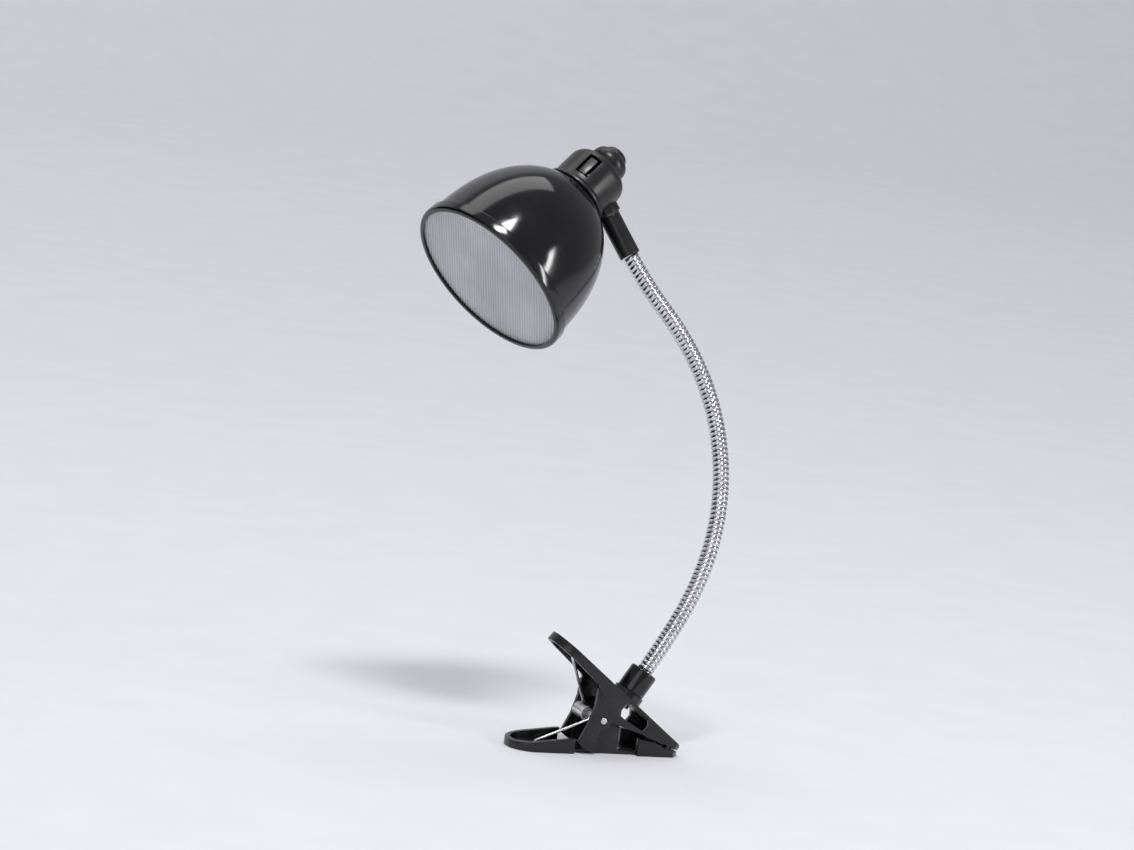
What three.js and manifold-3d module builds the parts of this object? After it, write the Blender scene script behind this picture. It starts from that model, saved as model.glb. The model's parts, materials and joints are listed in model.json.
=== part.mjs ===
// Clip-on reading lamp: a sprung clip, a bendable gooseneck and a battery-powered LED head.
// Millimetres, +Z up. The origin is where the closed jaw tips meet, on the clip's middle plane.
// The clip's middle plane is XZ, its lower jaw lies flat, and the jaw tips point along +X.
import * as THREE from "three";
import { mergeVertices } from "three/addons/utils/BufferGeometryUtils.js";
import Module from "manifold-3d";

const wasm = await Module();
wasm.setup();

// ---- Driving dimensions ----

const CLEARANCE = 0.3; // between neighbouring pieces
const ROUND = 32; // sides of a round piece
const SMALL_ROUND = 16; // sides of a thin round piece
const LARGE_ROUND = 64; // sides of the shade and what fits it
const WIRE_SIDES = 6;

// Clip. A jaw is drawn in its own plane: u runs from the pin's foot to the tip, v from the outer face in.
const JAW_ANGLE = 37.2; // between the two outer faces when the clip is closed
const JAW_WIDTH = 14;
const JAW_PLATE = 0.9;
const JAW_WALL = 1.4;
const TIP_REACH = 21.85; // from the pin to the tip
const TIP_SOLID = 5.3; // length of the solid, toothed end
const TIP_CORNER = 1.5;
const HANDLE_REACH = 23.3; // from the pin to the handle's end
const HANDLE_CORNER = 6.5; // radius of the handle's end, seen from above
const TEETH = 3;
const TEETH_LENGTH = 4.25;
const TOOTH_DEPTH = 0.5;
const PIN_DEPTH = 8.9; // from each outer face to the pin's axis
const PIN_RADIUS = 0.9;
const ARM_SWEEP = 8.6; // the upper jaw's arms stay within this distance of the pin
const EYE_RADIUS = 2.3; // of the upper jaw's arms, round the pin
const SLOT_LENGTH = 5.5; // the opening in each handle, which the spring's leg hooks into
const SLOT_WIDTH = 6;
const SLOT_CENTRE = -16.75;
const SPRING_WIRE = 0.4; // wire radius
const SPRING_RADIUS = 1.65; // to the middle of the wire
const SPRING_BEHIND_PIN = 3.25; // from the pin's axis to the coil's
const SPRING_TURNS = 7; // whole turns, besides the part turn between the legs
const SPRING_WIDTH = 6.4;
const LEG_END = { u: -16.2, v: 2.1 };
const LEG_SIDE = -2.3; // both legs end on the same side of the middle plane

// Ferrule on the clip
const FERRULE_X = -12.7; // where the ferrule's base stands
const FERRULE_Z = 14;
const FERRULE_LEAN = 31.4; // from upright, towards the tips
const FERRULE_RADIUS = 3.75;
const FERRULE_HEIGHT = 6.5;
const FERRULE_PAD = 2.6; // depth of the jaw's pad under the ferrule
const NECK_SOCKET_DEPTH = 3;
const SCREW_RADIUS = 1.1;
const SCREW_HEAD = { radius: 2.2, from: -4.3, to: -3.2 };

// Gooseneck
const NECK_TURN = 157; // the plane in which the neck curves, turned about the ferrule
const NECK_LENGTH = 119.5;
const NECK_RADIUS = 2.2;
const NECK_BENDS = [4.5, 12.5, 14.5, 14, 14.5, 12.5, -9]; // degrees at each bending station
const NECK_TAPER = 1.3;
const NECK_END_GAP = 0.15;

// Stem between the neck and the head
const STEM_RADIUS = 2.8;
const STEM_TO_HEAD_AXIS = 22.1;
const SPIGOT_RADIUS = 1.8;
const HEAD_TURN = 21.2; // about the stem
const HEAD_TILT = 73.6; // between the stem and the head's own axis

// Head. A station is measured backwards from the lens plane along the head's axis.
const STEM_STATION = 40;
const SHADE_RADIUS = 22.9;
const SHADE_DEPTH = 34.8;
const SHADE_FULLNESS = 2.4;
const SHADE_WALL = 1.4;
const SHADE_FRONT = 2.4;
const SHADE_BACK = 32.3;
const BEZEL_RADIUS = 23.6;
const LENS_RADIUS = 22.6;
const LENS_THICKNESS = 1.5;
const BOARD_RADIUS = 9.5;
const BOARD_STATION = 15.2;
const BOARD_THICKNESS = 1.6;
const LED_COUNT = 3;
const LED_RADIUS = 2.5;
const LED_CIRCLE = 5.2;
const CELL_COUNT = 3;
const CELL_RADIUS = 5.8;
const CELL_HEIGHT = 5.4;
const CELL_PITCH = 5.6;
const HOLDER_RADIUS = 7.1;
const HOLDER_STATION = 17.4;
const HOUSING_RADIUS = 8.5;
const HOUSING_BACK = 44.8;
const HOUSING_FLANGE = 0.8;
const HOUSING_WALL = 1.1;
const TAB_ANGLE = 64; // round the head's axis, from the side away from the stem
const TAB_WIDTH = 2.2;
const TAB_SLOT = 0.85;
const TAB_ROOT = 35.8;
const TAB_TIP = 41.2;
const TAB_INNER_CUT = 6; // the slot and the tongue are both cut between these two distances from the axis
const TAB_OUTER_CUT = 10;
const CONTACT_WIRE = 0.25;
const BUTTON_RADIUS = 3.4;
const COLLAR_RADIUS = 5.2;
const COLLAR_STATION = 45.1;

// ---- Materials ----

function material(color, roughness, metalness) {
  return new THREE.MeshStandardMaterial({ color, roughness, metalness });
}

const blackGloss = material(0x0c0c0e, 0.2, 0);
const blackSatin = material(0x141416, 0.45, 0);
const chrome = material(0xd8dadd, 0.18, 1);
const steel = material(0xa8aaad, 0.35, 1);
const lensPlastic = material(0xc4c6ca, 0.35, 0);
const whitePlastic = material(0xe6e6e2, 0.4, 0);
const boardGreen = material(0x1d5a34, 0.5, 0);
const brassContact = material(0xb8964a, 0.35, 1);

// ---- Geometry helpers ----

const radians = THREE.MathUtils.degToRad;

function solidOf(geometry) {
  const bare = geometry.clone();
  bare.deleteAttribute("normal");
  bare.deleteAttribute("uv");
  const merged = mergeVertices(bare, 1e-4);
  return new wasm.Manifold(
    new wasm.Mesh({
      numProp: 3,
      vertProperties: merged.attributes.position.array,
      triVerts: new Uint32Array(merged.index.array),
    }),
  );
}

function geometryOf(solid) {
  const mesh = solid.getMesh();
  const geometry = new THREE.BufferGeometry();
  geometry.setAttribute("position", new THREE.BufferAttribute(mesh.vertProperties, 3));
  geometry.setIndex(new THREE.BufferAttribute(mesh.triVerts, 1));
  return geometry;
}

function join(...pieces) {
  return geometryOf(pieces.map(solidOf).reduce((all, piece) => all.add(piece)));
}

function cut(piece, ...tools) {
  return geometryOf(tools.map(solidOf).reduce((rest, tool) => rest.subtract(tool), solidOf(piece)));
}

function common(a, b) {
  return geometryOf(solidOf(a).intersect(solidOf(b)));
}

// A solid of revolution about Z, from [radius, height] points that run upwards along the outside.
function turned(points, sides = ROUND) {
  const profile = points.map(([radius, height]) => new THREE.Vector2(radius, height));
  return new THREE.LatheGeometry(profile, sides).rotateX(Math.PI / 2);
}

function rod(radius, from, to, sides = ROUND) {
  return turned([[0, from], [radius, from], [radius, to], [0, to]], sides);
}

function ring(inner, outer, from, to, sides = ROUND) {
  return turned([[inner, from], [outer, from], [outer, to], [inner, to], [inner, from]], sides);
}

function block(width, depth, height, x, y, z) {
  return new THREE.BoxGeometry(width, depth, height).translate(x, y, z);
}

// An outline of [u, v] points stood up in the XZ plane and given thickness from y = from to y = to.
function slab(points, from, to) {
  const outline = new THREE.Shape(points.map(([u, v]) => new THREE.Vector2(u, v)));
  const plate = new THREE.ExtrudeGeometry(outline, { depth: to - from, bevelEnabled: false });
  return plate.rotateX(Math.PI / 2).translate(0, to, 0);
}

function crossRod(radius, from, to, u, v, sides = ROUND) {
  return rod(radius, from, to, sides).rotateX(-Math.PI / 2).translate(u, 0, v);
}

function wire(points, radius, steps, sides) {
  const section = new THREE.Shape();
  for (let i = 0; i < sides; i++) {
    const angle = (2 * Math.PI * i) / sides;
    const corner = [radius * Math.cos(angle), radius * Math.sin(angle)];
    if (i === 0) section.moveTo(...corner);
    else section.lineTo(...corner);
  }
  const extrudePath = new THREE.CatmullRomCurve3(points);
  return new THREE.ExtrudeGeometry(section, { steps, extrudePath, bevelEnabled: false });
}

function addMesh(parent, name, geometry, finish) {
  const mesh = new THREE.Mesh(geometry, finish);
  mesh.name = name;
  parent.add(mesh);
  return mesh;
}

function addGroup(parent, name, position = [0, 0, 0], turnZ = 0, turnY = 0) {
  const group = new THREE.Group();
  group.name = name;
  group.position.set(...position);
  const aboutZ = new THREE.Quaternion().setFromAxisAngle(new THREE.Vector3(0, 0, 1), radians(turnZ));
  const aboutY = new THREE.Quaternion().setFromAxisAngle(new THREE.Vector3(0, 1, 0), radians(turnY));
  group.quaternion.copy(aboutZ).multiply(aboutY);
  parent.add(group);
  return group;
}

// ---- Clip ----

const HALF_ANGLE = radians(JAW_ANGLE / 2);
const PIN_X = -TIP_REACH;
const PIN_Z = TIP_REACH * Math.tan(HALF_ANGLE);
const HALF_WIDTH = JAW_WIDTH / 2;
const INSIDE = HALF_WIDTH - JAW_WALL;
const EAR_OUTSIDE = INSIDE - CLEARANCE;
const EAR_INSIDE = EAR_OUTSIDE - JAW_WALL;
const PAST = 1; // how far a cutting tool runs past the surface
const TALL = 20; // higher than any jaw

// Depth of the line on which the two jaws meet, at a distance u ahead of the pin.
function meetingLine(u) {
  return PIN_DEPTH - u * Math.tan(HALF_ANGLE);
}

// A jaw's outline in side view: plate, teeth at the tip, then the rim of its side wall back to the handle.
function jawSide(rim) {
  const gap = CLEARANCE / 2;
  const pitch = TEETH_LENGTH / TEETH;
  const outline = [[-HANDLE_REACH, 0], [TIP_REACH - 0.8, 0], [TIP_REACH, 0.5]];
  for (let i = 0; i < TEETH; i++) {
    const u = TIP_REACH - i * pitch;
    outline.push([u, meetingLine(u) - gap]);
    outline.push([u - pitch * 0.6, meetingLine(u - pitch * 0.6) - gap]);
    outline.push([u - pitch, meetingLine(u - pitch) - gap - TOOTH_DEPTH]);
  }
  return [...outline, ...rim];
}

// The jaw seen from above, drawn in by an inset: square-shouldered at the tip, round at the handle's end.
function jawPlan(inset) {
  const half = HALF_WIDTH - inset;
  const corner = HANDLE_CORNER - inset;
  const centre = -HANDLE_REACH + HANDLE_CORNER;
  const offset = HALF_WIDTH - HANDLE_CORNER;
  const plan = new THREE.Shape();
  plan.moveTo(TIP_REACH, -half + TIP_CORNER);
  plan.lineTo(TIP_REACH, half - TIP_CORNER);
  plan.lineTo(TIP_REACH - TIP_CORNER, half);
  plan.lineTo(centre, half);
  plan.absarc(centre, offset, corner, Math.PI / 2, Math.PI, false);
  plan.absarc(centre, -offset, corner, Math.PI, 1.5 * Math.PI, false);
  plan.lineTo(TIP_REACH - TIP_CORNER, -half);
  const extrusion = { depth: PAST + TALL, bevelEnabled: false, curveSegments: 8 };
  return new THREE.ExtrudeGeometry(plan, extrusion).translate(0, 0, -PAST);
}

// What both jaws share. The channel between the walls is open except at the toothed tip.
function jawShell(rim) {
  const full = slab(jawSide(rim), -HALF_WIDTH, HALF_WIDTH);
  const back = -HANDLE_REACH + JAW_WALL;
  const front = TIP_REACH - TIP_SOLID;
  const channel = [[back, JAW_PLATE], [front, JAW_PLATE], [front, TALL], [back, TALL]];
  const hollow = common(slab(channel, -INSIDE, INSIDE), jawPlan(JAW_WALL));
  const slot = block(SLOT_LENGTH, SLOT_WIDTH, 2 * JAW_PLATE + PAST, SLOT_CENTRE, 0, 0);
  return cut(common(full, jawPlan(0)), hollow, slot);
}

// The same outline given thickness on both sides of the clip, between two distances from its middle plane.
function bothWalls(outline, near, far) {
  return [slab(outline, near, far), slab(outline, -far, -near)];
}

function discWalls(radius, near, far) {
  return [[near, far], [-far, -near]].map(([from, to]) => crossRod(radius, from, to, 0, PIN_DEPTH));
}

function pinHole() {
  return crossRod(PIN_RADIUS + 0.15, -HALF_WIDTH - PAST, HALF_WIDTH + PAST, 0, PIN_DEPTH, SMALL_ROUND);
}

// The lower jaw's outer walls stop short of the upper jaw's arms; its ears stand inside them.
function lowerJaw() {
  const rim = [[16.8, 3], [14.5, 3.8], [10.4, 4.6], [-8, 3.9], [-11.5, 3.4], [-HANDLE_REACH, 2]];
  const armRoom = [[-7.1, -PAST], [10.4, -PAST], [10.4, TALL], [-3, TALL], [-4.4, PIN_DEPTH], [-7.1, 3]];
  const ear = [[-4.2, 0.6], [5.3, 0.6], [5.3, PIN_DEPTH + 3.2], [2, PIN_DEPTH + 3.6]];
  ear.push([-2.4, PIN_DEPTH + 1.6]);
  const shell = cut(jawShell(rim), ...bothWalls(armRoom, EAR_OUTSIDE, HALF_WIDTH + PAST));
  return cut(join(shell, ...bothWalls(ear, EAR_INSIDE, EAR_OUTSIDE)), pinHole());
}

// The lamp-side jaw: arms that reach past the pin, a pad under the ferrule and a window in each side.
function upperJaw(pad, screwHole) {
  const rim = [[16.8, 3.05], [12.5, 4], [10.1, 4.9], [5.8, 6.5], [3, 7.5], [1, 7.5]];
  rim.push([-7.6, 2.8], [-14, 2.5], [-HANDLE_REACH, 2.2]);
  const arm = [[-8.2, 1], [-6.7, 4], [-4.4, 7.4], [-2.5, 12.2], [-1.2, 18], [3.4, 18], [3.7, 16.2]];
  arm.push([1.8, 13.4], [1.3, 11.5], [2.2, 7.6], [3.4, 5.2], [4, 1]);
  const window = [[1.6, 0.8], [9.7, 0.8], [10.8, 2.1], [10.8, 3.8], [4.4, 4.9], [1.9, 4.9]];
  const reach = discWalls(ARM_SWEEP, INSIDE, HALF_WIDTH);
  const arms = bothWalls(arm, INSIDE, HALF_WIDTH).map((wall, i) => common(wall, reach[i]));
  const eyes = discWalls(EYE_RADIUS, INSIDE, HALF_WIDTH);
  const windows = bothWalls(window, EAR_OUTSIDE, HALF_WIDTH + PAST);
  return cut(join(jawShell(rim), ...arms, ...eyes, pad), pinHole(), screwHole, ...windows);
}

// The mirror image of a point of the clip's side view in the line on which the jaws meet, from the pin.
function mirrored([x, z]) {
  const cos = Math.cos(2 * HALF_ANGLE);
  const sin = Math.sin(2 * HALF_ANGLE);
  return [x * cos - z * sin, -x * sin - z * cos];
}

// A torsion spring that bears on the pin from behind. Each leg hooks into the opening of its handle.
function torsionSpring() {
  const centre = [-SPRING_BEHIND_PIN * Math.cos(HALF_ANGLE), SPRING_BEHIND_PIN * Math.sin(HALF_ANGLE)];
  const end = [LEG_END.u, LEG_END.v - PIN_DEPTH];
  const hook = [LEG_END.u - 0.8, LEG_END.v - 1.4 - PIN_DEPTH];
  const toCentre = Math.hypot(centre[0] - end[0], centre[1] - end[1]);
  const rise = Math.atan2(centre[1] - end[1], centre[0] - end[0]) - Math.asin(SPRING_RADIUS / toCentre);
  const start = rise - Math.PI / 2;
  const stop = 2 * Math.PI * SPRING_TURNS - 2 * HALF_ANGLE - start;
  const side = SPRING_WIDTH / 2;
  const count = 12 * SPRING_TURNS;
  const points = [hook, end].map(([x, z]) => new THREE.Vector3(x, LEG_SIDE, z));
  for (let i = 0; i <= count; i++) {
    const angle = start + ((stop - start) * i) / count;
    const x = centre[0] + SPRING_RADIUS * Math.cos(angle);
    const z = centre[1] + SPRING_RADIUS * Math.sin(angle);
    points.push(new THREE.Vector3(x, SPRING_WIDTH * (i / count) - side, z));
  }
  for (const [x, z] of [end, hook].map(mirrored)) points.push(new THREE.Vector3(x, LEG_SIDE, z));
  return wire(points, SPRING_WIRE, count + 36, WIRE_SIDES);
}

// ---- Gooseneck ----

const SEGMENT = NECK_LENGTH / NECK_BENDS.length;
const NECK_START = FERRULE_HEIGHT - NECK_SOCKET_DEPTH + CLEARANCE;
const NECK_ORIGIN = 5.8; // the neck's curve starts here, inside the ferrule's mouth

// One straight length of the conduit. Its ends taper to a point so that it can bend against the next.
function neckLength(from, to, taperFrom, taperTo) {
  const start = taperFrom ? [[0, from + NECK_END_GAP], [NECK_RADIUS, from + NECK_END_GAP + NECK_TAPER]]
    : [[0, from], [NECK_RADIUS, from]];
  const end = taperTo ? [[NECK_RADIUS, to - NECK_END_GAP - NECK_TAPER], [0, to - NECK_END_GAP]]
    : [[NECK_RADIUS, to], [0, to]];
  return turned([...start, ...end], SMALL_ROUND);
}

// The last length steps down to fit the bore of the stem.
function lastNeckLength() {
  const shoulder = SEGMENT / 2 - CLEARANCE;
  const core = STEM_BORE - CLEARANCE;
  return turned(
    [
      [0, NECK_END_GAP],
      [NECK_RADIUS, NECK_END_GAP + NECK_TAPER],
      [NECK_RADIUS, shoulder],
      [core, shoulder],
      [core, SEGMENT / 2 + STEM_BORE_DEPTH - CLEARANCE],
      [0, SEGMENT / 2 + STEM_BORE_DEPTH - CLEARANCE],
    ],
    SMALL_ROUND,
  );
}

function clipFerrule() {
  const edge = 0.7;
  const socket = NECK_RADIUS + CLEARANCE;
  const floor = FERRULE_HEIGHT - NECK_SOCKET_DEPTH;
  const hole = SCREW_RADIUS + CLEARANCE;
  return turned([
    [hole, 0],
    [FERRULE_RADIUS, 0],
    [FERRULE_RADIUS, FERRULE_HEIGHT - edge],
    [FERRULE_RADIUS - edge * 0.3, FERRULE_HEIGHT - edge * 0.3],
    [FERRULE_RADIUS - edge, FERRULE_HEIGHT],
    [socket, FERRULE_HEIGHT],
    [socket, floor],
    [hole, floor],
    [hole, 0],
  ]);
}

function ferruleScrew() {
  return turned(
    [
      [0, SCREW_HEAD.from],
      [SCREW_HEAD.radius, SCREW_HEAD.from],
      [SCREW_HEAD.radius, SCREW_HEAD.to],
      [SCREW_RADIUS, SCREW_HEAD.to],
      [SCREW_RADIUS, NECK_START - 2 * CLEARANCE],
      [0, NECK_START - 2 * CLEARANCE],
    ],
    SMALL_ROUND,
  );
}

// ---- Stem and swivel ----

const STEM_BORE = 2;
const STEM_BORE_DEPTH = 2.8;
const STEM_SHOULDER = STEM_TO_HEAD_AXIS - 10.9;
const STEM_END = STEM_TO_HEAD_AXIS - 4.4;
const GROOVE = { radius: 1.4, from: STEM_END - 1.6, to: STEM_END - 0.9 };
const WASHER = { inner: 2.1, outer: 2.9, from: STEM_SHOULDER + CLEARANCE, to: STEM_SHOULDER + 0.8 };
const SNAP_CLIP = { inner: 1.6, outer: 2.6, from: GROOVE.from + 0.1, to: GROOVE.to - 0.1 };

function stem() {
  return turned(
    [
      [0, STEM_BORE_DEPTH],
      [STEM_BORE, STEM_BORE_DEPTH],
      [STEM_BORE, 0],
      [STEM_RADIUS, 0],
      [STEM_RADIUS, STEM_SHOULDER],
      [SPIGOT_RADIUS, STEM_SHOULDER],
      [SPIGOT_RADIUS, GROOVE.from],
      [GROOVE.radius, GROOVE.from],
      [GROOVE.radius, GROOVE.to],
      [SPIGOT_RADIUS, GROOVE.to],
      [SPIGOT_RADIUS, STEM_END],
      [0, STEM_END],
    ],
    24,
  );
}

// ---- Head ----

// The shade's outline: a bell with a full shoulder, from its mouth (station 0) to its crown.
function bell(radius, depth, station) {
  return radius * Math.sqrt(1 - (station / depth) ** SHADE_FULLNESS);
}

function bellCurve(radius, depth, from, to, count) {
  const points = [];
  for (let i = 0; i <= count; i++) {
    const share = Math.sin((i / count) * 0.5 * Math.PI);
    const station = from + (to - from) * share;
    points.push([bell(radius, depth, station), station]);
  }
  return points;
}

function shade() {
  const hole = HOLDER_RADIUS + 0.4;
  const inside = SHADE_BACK - SHADE_WALL;
  const steps = 9;
  const outer = bellCurve(SHADE_RADIUS, SHADE_DEPTH, SHADE_FRONT, SHADE_BACK, steps);
  const inner = bellCurve(SHADE_RADIUS - SHADE_WALL, SHADE_DEPTH - SHADE_WALL, SHADE_FRONT, inside, steps);
  const profile = [...outer, [hole, SHADE_BACK], [hole, inside], ...inner.reverse(), outer[0]];
  return turned(profile, LARGE_ROUND);
}

function bezel() {
  const lip = LENS_RADIUS - 0.4;
  const seat = LENS_RADIUS + CLEARANCE;
  return turned(
    [
      [lip, -1],
      [BEZEL_RADIUS - 0.5, -1],
      [BEZEL_RADIUS, -0.5],
      [BEZEL_RADIUS, SHADE_FRONT - CLEARANCE],
      [seat, SHADE_FRONT - CLEARANCE],
      [seat, -CLEARANCE],
      [lip, -CLEARANCE],
      [lip, -1],
    ],
    LARGE_ROUND,
  );
}

function reflector() {
  const wall = 0.8;
  const front = { radius: 20.8, station: 2.7 };
  const back = { radius: 10.7, station: BOARD_STATION - 0.4 };
  return turned(
    [
      [front.radius - wall, front.station],
      [front.radius, front.station],
      [back.radius, back.station],
      [back.radius - wall, back.station],
      [front.radius - wall, front.station],
    ],
    40,
  );
}

const BOARD_SCREW_CIRCLE = 8.3;
const BOARD_SCREW_RADIUS = 0.7;

function boardScrewHoles(from, to) {
  return [1, -1].map((side) =>
    rod(BOARD_SCREW_RADIUS + CLEARANCE, from, to, SMALL_ROUND).translate(side * BOARD_SCREW_CIRCLE, 0, 0),
  );
}

function boardScrew(side) {
  const head = { radius: 1.2, from: BOARD_STATION - 1.5, to: BOARD_STATION - CLEARANCE };
  const end = HOLDER_STATION + 0.9;
  const profile = [[0, head.from], [head.radius, head.from], [head.radius, head.to]];
  profile.push([BOARD_SCREW_RADIUS, head.to], [BOARD_SCREW_RADIUS, end], [0, end]);
  return turned(profile, SMALL_ROUND).translate(side * BOARD_SCREW_CIRCLE, 0, 0);
}

function ledBoard() {
  const disc = rod(BOARD_RADIUS, BOARD_STATION, BOARD_STATION + BOARD_THICKNESS);
  return cut(disc, ...boardScrewHoles(BOARD_STATION - 1, BOARD_STATION + BOARD_THICKNESS + 1));
}

function led(index) {
  const back = BOARD_STATION - CLEARANCE;
  const flange = back - 1;
  const angle = Math.PI / 2 + (2 * Math.PI * index) / LED_COUNT;
  const profile = [[0, flange - 5.9], [0.5 * LED_RADIUS, flange - 5.5], [0.88 * LED_RADIUS, flange - 4.6]];
  profile.push([LED_RADIUS, flange - 3.4], [LED_RADIUS, flange], [LED_RADIUS + 0.4, flange]);
  profile.push([LED_RADIUS + 0.4, back], [0, back]);
  return turned(profile, 20).translate(LED_CIRCLE * Math.cos(angle), LED_CIRCLE * Math.sin(angle), 0);
}

const HOLDER_FLOOR = 1.2;
const HOLDER_END = HOLDER_STATION + 16.6;

function batteryHolder() {
  const bore = CELL_RADIUS + CLEARANCE;
  const cup = turned([
    [0, HOLDER_STATION],
    [BOARD_RADIUS, HOLDER_STATION],
    [BOARD_RADIUS, HOLDER_STATION + HOLDER_FLOOR],
    [HOLDER_RADIUS, HOLDER_STATION + HOLDER_FLOOR],
    [HOLDER_RADIUS, HOLDER_END],
    [bore, HOLDER_END],
    [bore, HOLDER_STATION + HOLDER_FLOOR],
    [0, HOLDER_STATION + HOLDER_FLOOR],
  ]);
  return cut(cup, ...boardScrewHoles(HOLDER_STATION - 1, HOLDER_STATION + HOLDER_FLOOR + 1));
}

function buttonCell(index) {
  const from = HOLDER_STATION + HOLDER_FLOOR + CLEARANCE + index * CELL_PITCH;
  const to = from + CELL_HEIGHT;
  const cap = CELL_RADIUS - 0.7;
  const profile = [[0, from], [cap, from], [cap, from + 0.4], [CELL_RADIUS, from + 0.4]];
  profile.push([CELL_RADIUS, to], [0, to]);
  return turned(profile, 24);
}

const CONTACT_PLATE = { radius: 3.4, from: 38.8, to: 39.3 };
const SWITCH_BODY = { side: 6.4, from: 39.7, to: 42.8 };

function contactSpring() {
  const turns = 3;
  const from = HOLDER_END + 2.1;
  const to = CONTACT_PLATE.from - 0.4;
  const wide = 3;
  const narrow = 1.8;
  const count = turns * 10;
  const points = [];
  for (let i = 0; i <= count; i++) {
    const share = i / count;
    const angle = 2 * Math.PI * turns * share;
    const radius = wide + (narrow - wide) * share;
    const point = new THREE.Vector3(radius * Math.cos(angle), radius * Math.sin(angle), from);
    point.z += (to - from) * share;
    points.push(point);
  }
  return wire(points, CONTACT_WIRE, count + 6, WIRE_SIDES);
}

// A rod along the stem's own axis, seen from the head: distances run from the head's axis towards the stem.
function alongStem(geometry) {
  return geometry.rotateY(radians(HEAD_TILT - 180)).translate(0, 0, STEM_STATION);
}

const BOSS_RADIUS = 3.4;
const BOSS_BOTTOM = 7.8;
const BOSS_TOP = 9.8;
const HOUSING_FRONT = SHADE_BACK + 0.4;
const PLUNGER_RADIUS = 1.5;

function tabWindow(width, from, to, nearest, farthest) {
  const middle = (from + to) / 2;
  const window = block(farthest - nearest, width, to - from, (nearest + farthest) / 2, 0, middle);
  return window.rotateZ(radians(TAB_ANGLE));
}

function housingShell() {
  const inside = HOUSING_RADIUS - HOUSING_WALL;
  const shoulder = HOUSING_BACK - 2.8;
  return turned(
    [
      [inside, HOUSING_FRONT],
      [HOUSING_RADIUS + HOUSING_FLANGE, HOUSING_FRONT],
      [HOUSING_RADIUS + HOUSING_FLANGE, HOUSING_FRONT + 1],
      [HOUSING_RADIUS, HOUSING_FRONT + 1.6],
      [HOUSING_RADIUS, shoulder],
      [HOUSING_RADIUS - 0.5, shoulder + 1.4],
      [HOUSING_RADIUS - 1.6, shoulder + 2.4],
      [HOUSING_RADIUS - 3.1, HOUSING_BACK],
      [PLUNGER_RADIUS + 0.5, HOUSING_BACK],
      [PLUNGER_RADIUS + 0.5, HOUSING_BACK - 1.2],
      [inside - 1, HOUSING_BACK - 1.5],
      [inside, HOUSING_BACK - 2.7],
      [inside, HOUSING_FRONT],
    ],
    40,
  );
}

function rearHousing() {
  const boss = alongStem(rod(BOSS_RADIUS, BOSS_BOTTOM, BOSS_TOP, 24));
  const hole = alongStem(rod(SPIGOT_RADIUS + CLEARANCE, BOSS_BOTTOM / 2, BOSS_TOP + PAST, 24));
  const width = TAB_WIDTH + 2 * TAB_SLOT;
  const slot = tabWindow(width, TAB_ROOT - CLEARANCE, TAB_TIP + TAB_SLOT, TAB_INNER_CUT, TAB_OUTER_CUT);
  return cut(join(housingShell(), boss), hole, slot);
}

// A flush tongue of the housing's own wall, held at the end next to the shade and free at the other.
function releaseTab() {
  const wall = ring(HOUSING_RADIUS - HOUSING_WALL, HOUSING_RADIUS, TAB_ROOT - 1, TAB_TIP + 1, 40);
  return common(wall, tabWindow(TAB_WIDTH, TAB_ROOT, TAB_TIP, TAB_INNER_CUT, TAB_OUTER_CUT));
}

// The ball-shaped collar that guides the button, and the button in its mouth.
function switchCollar() {
  const bore = BUTTON_RADIUS + CLEARANCE;
  const from = COLLAR_STATION;
  return turned(
    [
      [bore, from],
      [COLLAR_RADIUS - 0.4, from],
      [COLLAR_RADIUS, from + 1.2],
      [COLLAR_RADIUS, from + 2.2],
      [COLLAR_RADIUS - 0.4, from + 3.4],
      [COLLAR_RADIUS - 1.1, from + 4.1],
      [bore, from + 4.3],
      [bore, from],
    ],
    ROUND,
  );
}

function pushButton() {
  const skirt = COLLAR_STATION + 1.3;
  return turned([
    [0, skirt - 2],
    [PLUNGER_RADIUS, skirt - 2],
    [PLUNGER_RADIUS, skirt],
    [BUTTON_RADIUS, skirt],
    [BUTTON_RADIUS, skirt + 3.6],
    [BUTTON_RADIUS - 0.5, skirt + 4.4],
    [BUTTON_RADIUS - 1.5, skirt + 4.9],
    [0, skirt + 5.1],
  ]);
}

// ---- Assembly ----

const lamp = new THREE.Group();
lamp.name = "clip_on_reading_lamp";

const lowerFrame = addGroup(lamp, "lower_jaw_frame", [PIN_X, 0, PIN_Z - PIN_DEPTH]);
addMesh(lowerFrame, "lower_jaw", lowerJaw(), blackSatin);

const pinFrame = addGroup(lamp, "pin_frame", [PIN_X, 0, PIN_Z]);
const pinEnd = HALF_WIDTH + 0.3;
addMesh(pinFrame, "pivot_pin", crossRod(PIN_RADIUS, -pinEnd, pinEnd, 0, 0, SMALL_ROUND), steel);
addMesh(pinFrame, "clip_spring", torsionSpring(), chrome);

const ferruleFrame = addGroup(lamp, "ferrule_frame", [FERRULE_X, 0, FERRULE_Z], 0, FERRULE_LEAN);
addMesh(ferruleFrame, "clip_ferrule", clipFerrule(), blackGloss);
addMesh(ferruleFrame, "ferrule_screw", ferruleScrew(), steel);

// The upper jaw is the lower one turned over and leaned back by the angle between the jaws.
const upperFrame = new THREE.Group();
upperFrame.name = "upper_jaw_frame";
upperFrame.rotation.set(Math.PI, 0, 0);
upperFrame.rotateY(-2 * HALF_ANGLE);
upperFrame.position.set(PIN_X, 0, PIN_Z);
upperFrame.translateZ(-PIN_DEPTH);
lamp.add(upperFrame);
lamp.updateMatrixWorld(true);

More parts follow.
